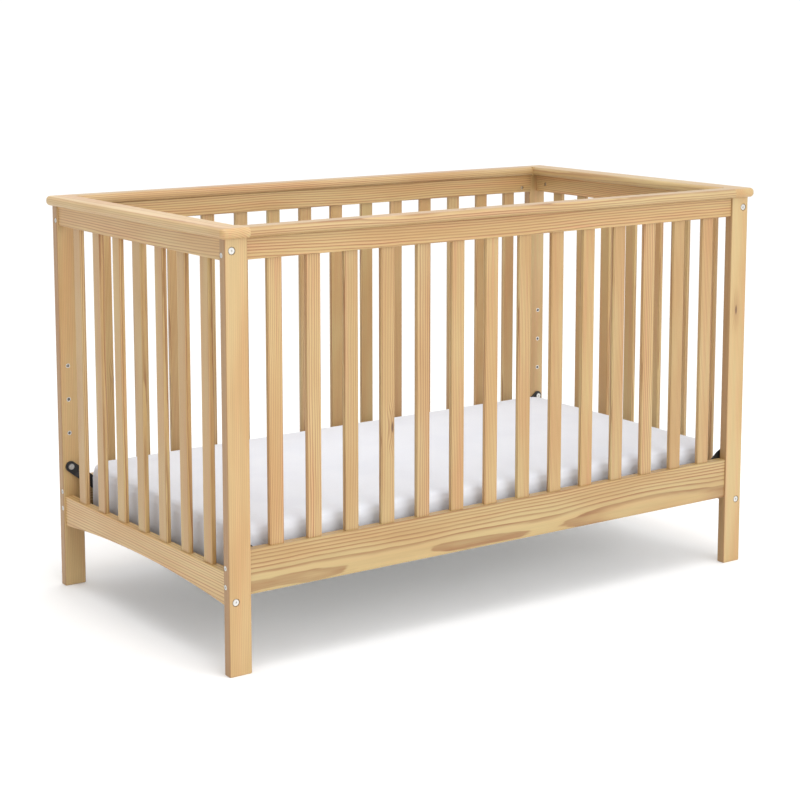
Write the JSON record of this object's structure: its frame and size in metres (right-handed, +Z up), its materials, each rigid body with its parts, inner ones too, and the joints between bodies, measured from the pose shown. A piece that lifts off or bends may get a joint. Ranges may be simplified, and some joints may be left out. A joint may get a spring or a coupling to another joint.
{
  "type": "baby crib",
  "caption": "Full-size slatted pine crib with rounded caps, arched end rails, an adjustable hung spring support and a loose sheeted mattress.",
  "frame": {"origin": "on the floor, under the middle of the crib", "axes": "+X to the crib's right along its long sides as seen from the front, +Y from front to back, +Z up"},
  "size_m": [1.404, 0.774, 0.878],
  "materials": {
    "pine_post": "satin clear lacquer on pine, grain along the post",
    "pine_rail": "satin clear lacquer on pine, bold flat-sawn grain along the rail",
    "pine_cap": "satin clear lacquer on pine, rounded and smooth",
    "pine_slat": "satin clear lacquer on pine, grain along the slat",
    "beech_dowel": "unfinished beech",
    "zinc_steel": "bright zinc plating",
    "black_steel": "satin black powder coat",
    "spring_steel": "drawn steel wire, dull grey",
    "cotton_sheet": "white fitted cotton sheet"
  },
  "bodies": {
    "crib_frame": {"back_bottom_rail": "pine_rail", "back_cap": "pine_cap", "back_frame_angle": "black_steel", "back_left_hanger_arm": "black_steel", "back_left_post": "pine_post", "back_right_hanger_arm": "black_steel", "back_right_post": "pine_post", "back_slats": "pine_slat", "back_top_rail": "pine_rail", "barrel_nuts": "zinc_steel", "cap_dowels": "beech_dowel", "coil_springs": "spring_steel", "end_panel_bolts": "zinc_steel", "front_bottom_rail": "pine_rail", "front_cap": "pine_cap", "front_frame_angle": "black_steel", "front_left_hanger_arm": "black_steel", "front_left_post": "pine_post", "front_right_hanger_arm": "black_steel", "front_right_post": "pine_post", "front_slat_01": "pine_slat", "front_slat_02": "pine_slat", "front_slat_03": "pine_slat", "front_slat_04": "pine_slat", "front_slat_05": "pine_slat", "front_slat_06": "pine_slat", "front_slat_07": "pine_slat", "front_slat_08": "pine_slat", "front_slat_09": "pine_slat", "front_slat_10": "pine_slat", "front_slat_11": "pine_slat", "front_slat_12": "pine_slat", "front_slat_13": "pine_slat", "front_slat_14": "pine_slat", "front_top_rail": "pine_rail", "hanger_bolts": "zinc_steel", "hanger_rivets": "zinc_steel", "left_end_bottom_rail": "pine_rail", "left_end_cap": "pine_cap", "left_end_slat_1": "pine_slat", "left_end_slat_2": "pine_slat", "left_end_slat_3": "pine_slat", "left_end_slat_4": "pine_slat", "left_end_slat_5": "pine_slat", "left_end_slat_6": "pine_slat", "left_end_slat_7": "pine_slat", "left_end_top_rail": "pine_rail", "left_frame_angle": "black_steel", "rail_dowels": "beech_dowel", "right_end_bottom_rail": "pine_rail", "right_end_cap": "pine_cap", "right_end_slats": "pine_slat", "right_end_top_rail": "pine_rail", "right_frame_angle": "black_steel", "side_panel_bolts": "zinc_steel", "spring_deck_wires": "spring_steel", "threaded_inserts": "zinc_steel"},
    "mattress": {"mattress": "cotton_sheet"}
  },
  "joints": [
    {"name": "mattress_lift", "type": "slide", "parent": "crib_frame", "child": "mattress", "axis": [0, 0, 1], "range_m": [0, 0.56]}
  ]
}
